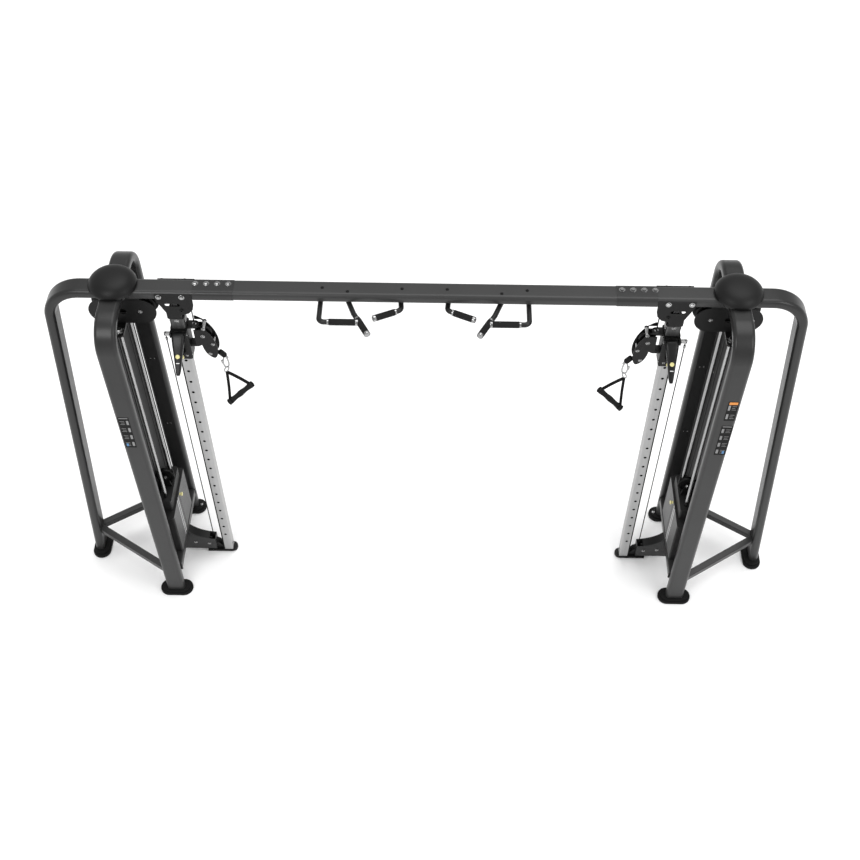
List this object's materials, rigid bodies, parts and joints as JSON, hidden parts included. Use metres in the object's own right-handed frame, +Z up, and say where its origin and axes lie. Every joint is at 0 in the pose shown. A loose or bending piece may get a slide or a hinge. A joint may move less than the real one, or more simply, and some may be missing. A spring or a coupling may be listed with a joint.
{
  "type": "functional trainer",
  "caption": "Dual-tower cable functional trainer with an overhead beam, height-adjustable swivel pulleys, weight stacks, hand grips and pull-up handles.",
  "frame": {"origin": "on the floor, midway between the towers, under the middle of the overhead beam", "axes": "+X along the overhead beam to the right-hand tower as the user faces the machine, +Y away from the user, +Z up"},
  "size_m": [4.135, 0.712, 2.335],
  "materials": {
    "frame_paint": "satin charcoal powder coat",
    "handle_paint": "satin black powder coat",
    "cap_plastic": "satin black moulding",
    "foot_rubber": "matte moulded rubber",
    "shroud_panel": "satin grey sheet",
    "polished_rod": "polished",
    "weight_plate": "grey painted plate",
    "selector_knob": "pale yellow moulding",
    "bracket_black": "black powder coat",
    "column_silver": "satin silver powder coat",
    "lever_plastic": "satin black moulding",
    "hook_chrome": "bright plated",
    "grip_rubber": "textured grip",
    "cable_coat": "coated steel cable",
    "pulley_plastic": "moulded sheave"
  },
  "bodies": {
    "frame": {"beam": "frame_paint", "pullup_handles": "handle_paint", "left_tower_frame": "frame_paint", "left_outer_leg": "frame_paint", "left_hub_cap": "cap_plastic", "left_front_foot": "foot_rubber", "left_rear_foot": "foot_rubber", "left_outer_foot": "foot_rubber", "left_stack_shroud": "shroud_panel", "left_guide_rods": "polished_rod", "left_fixed_weights": "weight_plate", "left_pulley_housing": "bracket_black", "left_column": "column_silver", "left_column_bracket": "bracket_black", "left_lower_arm": "frame_paint", "left_cable": "cable_coat", "right_tower_frame": "frame_paint", "right_outer_leg": "frame_paint", "right_hub_cap": "cap_plastic", "right_front_foot": "foot_rubber", "right_rear_foot": "foot_rubber", "right_outer_foot": "foot_rubber", "right_stack_shroud": "shroud_panel", "right_guide_rods": "polished_rod", "right_fixed_weights": "weight_plate", "right_pulley_housing": "bracket_black", "right_column": "column_silver", "right_column_bracket": "bracket_black", "right_lower_arm": "frame_paint", "right_cable": "cable_coat"},
    "left_carriage_body": {"left_carriage": "bracket_black"},
    "left_lever_body": {"left_release_lever": "lever_plastic"},
    "left_lock_body": {"left_lock_pin": "polished_rod"},
    "left_head_body": {"left_swivel_head": "bracket_black"},
    "left_hook_body": {"left_snap_hook": "hook_chrome"},
    "left_grip_body": {"left_hand_grip": "grip_rubber"},
    "left_stack_body": {"left_lifting_weights": "weight_plate"},
    "left_selector_body": {"left_selector_pin": "selector_knob"},
    "left_head_sheave": {"left_head_pulley": "pulley_plastic"},
    "left_bracket_sheave": {"left_bracket_pulley": "pulley_plastic"},
    "left_inner_top_sheave": {"left_inner_top_pulley": "pulley_plastic"},
    "left_stack_sheave": {"left_stack_pulley": "pulley_plastic"},
    "left_outer_top_sheave": {"left_outer_top_pulley": "pulley_plastic"},
    "left_base_sheave": {"left_base_pulley": "pulley_plastic"},
    "left_arm_sheave": {"left_arm_pulley": "pulley_plastic"},
    "right_carriage_body": {"right_carriage": "bracket_black"},
    "right_lever_body": {"right_release_lever": "lever_plastic"},
    "right_lock_body": {"right_lock_pin": "polished_rod"},
    "right_head_body": {"right_swivel_head": "bracket_black"},
    "right_hook_body": {"right_snap_hook": "hook_chrome"},
    "right_grip_body": {"right_hand_grip": "grip_rubber"},
    "right_stack_body": {"right_lifting_weights": "weight_plate"},
    "right_selector_body": {"right_selector_pin": "selector_knob"},
    "right_head_sheave": {"right_head_pulley": "pulley_plastic"},
    "right_bracket_sheave": {"right_bracket_pulley": "pulley_plastic"},
    "right_inner_top_sheave": {"right_inner_top_pulley": "pulley_plastic"},
    "right_stack_sheave": {"right_stack_pulley": "pulley_plastic"},
    "right_outer_top_sheave": {"right_outer_top_pulley": "pulley_plastic"},
    "right_base_sheave": {"right_base_pulley": "pulley_plastic"},
    "right_arm_sheave": {"right_arm_pulley": "pulley_plastic"}
  },
  "joints": [
    {"name": "left_carriage_slide", "type": "slide", "parent": "frame", "child": "left_carriage_body", "axis": [0, 0, 1], "range_m": [-1.411, 0], "deforming": ["left_cable"]},
    {"name": "left_release_lever_tilt", "type": "hinge", "parent": "left_carriage_body", "child": "left_lever_body", "pos_m": [-1.226, -0.062, 1.986], "axis": [1, 0, 0], "range_deg": [0, 12], "stiffness_Nm_per_rad": 4},
    {"name": "left_lock_pin_slide", "type": "slide", "parent": "left_carriage_body", "child": "left_lock_body", "axis": [0, -1, 0], "range_m": [-0.0065, 0]},
    {"name": "left_head_swivel", "type": "hinge", "parent": "left_carriage_body", "child": "left_head_body", "pos_m": [-1.152, 0, 1.95], "axis": [0, 0, 1], "range_deg": [-80, 80]},
    {"name": "left_handle_pull", "type": "slide", "parent": "left_head_body", "child": "left_hook_body", "axis": [0.6157, 0, -0.788], "range_m": [0, 1.2]},
    {"name": "left_grip_swing", "type": "hinge", "parent": "left_hook_body", "child": "left_grip_body", "pos_m": [-1.034, 0, 1.645], "axis": [0, -1, 0], "range_deg": [-25, 60]},
    {"name": "left_stack_lift", "type": "slide", "parent": "frame", "child": "left_stack_body", "axis": [0, 0, 1], "range_m": [0, 0.6]},
    {"name": "left_selector_pull", "type": "slide", "parent": "left_stack_body", "child": "left_selector_body", "axis": [1, 0, 0], "range_m": [0, 0.07]},
    {"name": "left_head_sheave_spin", "type": "hinge", "parent": "left_head_body", "child": "left_head_sheave", "pos_m": [-1.114, 0, 1.945], "axis": [0, -1, 0], "continuous": true},
    {"name": "left_bracket_sheave_spin", "type": "hinge", "parent": "frame", "child": "left_bracket_sheave", "pos_m": [-1.182, 0, 2.156], "axis": [0, -1, 0], "continuous": true},
    {"name": "left_inner_top_sheave_spin", "type": "hinge", "parent": "frame", "child": "left_inner_top_sheave", "pos_m": [-1.395, 0, 2.123], "axis": [0, -1, 0], "continuous": true},
    {"name": "left_stack_sheave_spin", "type": "hinge", "parent": "left_stack_body", "child": "left_stack_sheave", "pos_m": [-1.508, 0, 0.738], "axis": [0, -1, 0], "continuous": true},
    {"name": "left_outer_top_sheave_spin", "type": "hinge", "parent": "frame", "child": "left_outer_top_sheave", "pos_m": [-1.596, 0, 2.123], "axis": [0, -1, 0], "continuous": true},
    {"name": "left_base_sheave_spin", "type": "hinge", "parent": "frame", "child": "left_base_sheave", "pos_m": [-1.596, 0, 0.093], "axis": [0, -1, 0], "continuous": true},
    {"name": "left_arm_sheave_spin", "type": "hinge", "parent": "frame", "child": "left_arm_sheave", "pos_m": [-1.338, 0, 0.085], "axis": [0, -1, 0], "continuous": true},
    {"name": "right_carriage_slide", "type": "slide", "parent": "frame", "child": "right_carriage_body", "axis": [0, 0, 1], "range_m": [-1.411, 0], "deforming": ["right_cable"]},
    {"name": "right_release_lever_tilt", "type": "hinge", "parent": "right_carriage_body", "child": "right_lever_body", "pos_m": [1.226, -0.062, 1.986], "axis": [1, 0, 0], "range_deg": [0, 12], "stiffness_Nm_per_rad": 4},
    {"name": "right_lock_pin_slide", "type": "slide", "parent": "right_carriage_body", "child": "right_lock_body", "axis": [0, -1, 0], "range_m": [-0.0065, 0]},
    {"name": "right_head_swivel", "type": "hinge", "parent": "right_carriage_body", "child": "right_head_body", "pos_m": [1.152, 0, 1.95], "axis": [0, 0, 1], "range_deg": [-80, 80]},
    {"name": "right_handle_pull", "type": "slide", "parent": "right_head_body", "child": "right_hook_body", "axis": [-0.6157, 0, -0.788], "range_m": [0, 1.2]},
    {"name": "right_grip_swing", "type": "hinge", "parent": "right_hook_body", "child": "right_grip_body", "pos_m": [1.034, 0, 1.645], "axis": [0, 1, 0], "range_deg": [-25, 60]},
    {"name": "right_stack_lift", "type": "slide", "parent": "frame", "child": "right_stack_body", "axis": [0, 0, 1], "range_m": [0, 0.6]},
    {"name": "right_selector_pull", "type": "slide", "parent": "right_stack_body", "child": "right_selector_body", "axis": [-1, 0, 0], "range_m": [0, 0.07]},
    {"name": "right_head_sheave_spin", "type": "hinge", "parent": "right_head_body", "child": "right_head_sheave", "pos_m": [1.114, 0, 1.945], "axis": [0, 1, 0], "continuous": true},
    {"name": "right_bracket_sheave_spin", "type": "hinge", "parent": "frame", "child": "right_bracket_sheave", "pos_m": [1.182, 0, 2.156], "axis": [0, 1, 0], "continuous": true},
    {"name": "right_inner_top_sheave_spin", "type": "hinge", "parent": "frame", "child": "right_inner_top_sheave", "pos_m": [1.395, 0, 2.123], "axis": [0, 1, 0], "continuous": true},
    {"name": "right_stack_sheave_spin", "type": "hinge", "parent": "right_stack_body", "child": "right_stack_sheave", "pos_m": [1.508, 0, 0.738], "axis": [0, 1, 0], "continuous": true},
    {"name": "right_outer_top_sheave_spin", "type": "hinge", "parent": "frame", "child": "right_outer_top_sheave", "pos_m": [1.596, 0, 2.123], "axis": [0, 1, 0], "continuous": true},
    {"name": "right_base_sheave_spin", "type": "hinge", "parent": "frame", "child": "right_base_sheave", "pos_m": [1.596, 0, 0.093], "axis": [0, 1, 0], "continuous": true},
    {"name": "right_arm_sheave_spin", "type": "hinge", "parent": "frame", "child": "right_arm_sheave", "pos_m": [1.338, 0, 0.085], "axis": [0, 1, 0], "continuous": true}
  ],
  "couplings": [
    {"joint": "left_lock_pin_slide", "follows": "left_release_lever_tilt", "m_per_rad": -0.031},
    {"joint": "left_handle_pull", "follows": "left_stack_lift", "ratio": 2},
    {"joint": "left_head_sheave_spin", "follows": "left_stack_lift", "rad_per_m": 52.632},
    {"joint": "left_bracket_sheave_spin", "follows": "left_stack_lift", "rad_per_m": -66.667},
    {"joint": "left_inner_top_sheave_spin", "follows": "left_stack_lift", "rad_per_m": -31.746},
    {"joint": "left_stack_sheave_spin", "follows": "left_stack_lift", "rad_per_m": 20},
    {"joint": "left_outer_top_sheave_spin", "follows": "left_carriage_slide", "rad_per_m": 26.316},
    {"joint": "left_base_sheave_spin", "follows": "left_carriage_slide", "rad_per_m": 26.316},
    {"joint": "left_arm_sheave_spin", "follows": "left_carriage_slide", "rad_per_m": 33.333},
    {"joint": "right_lock_pin_slide", "follows": "right_release_lever_tilt", "m_per_rad": -0.031},
    {"joint": "right_handle_pull", "follows": "right_stack_lift", "ratio": 2},
    {"joint": "right_head_sheave_spin", "follows": "right_stack_lift", "rad_per_m": 52.632},
    {"joint": "right_bracket_sheave_spin", "follows": "right_stack_lift", "rad_per_m": -66.667},
    {"joint": "right_inner_top_sheave_spin", "follows": "right_stack_lift", "rad_per_m": -31.746},
    {"joint": "right_stack_sheave_spin", "follows": "right_stack_lift", "rad_per_m": 20},
    {"joint": "right_outer_top_sheave_spin", "follows": "right_carriage_slide", "rad_per_m": 26.316},
    {"joint": "right_base_sheave_spin", "follows": "right_carriage_slide", "rad_per_m": 26.316},
    {"joint": "right_arm_sheave_spin", "follows": "right_carriage_slide", "rad_per_m": 33.333}
  ]
}
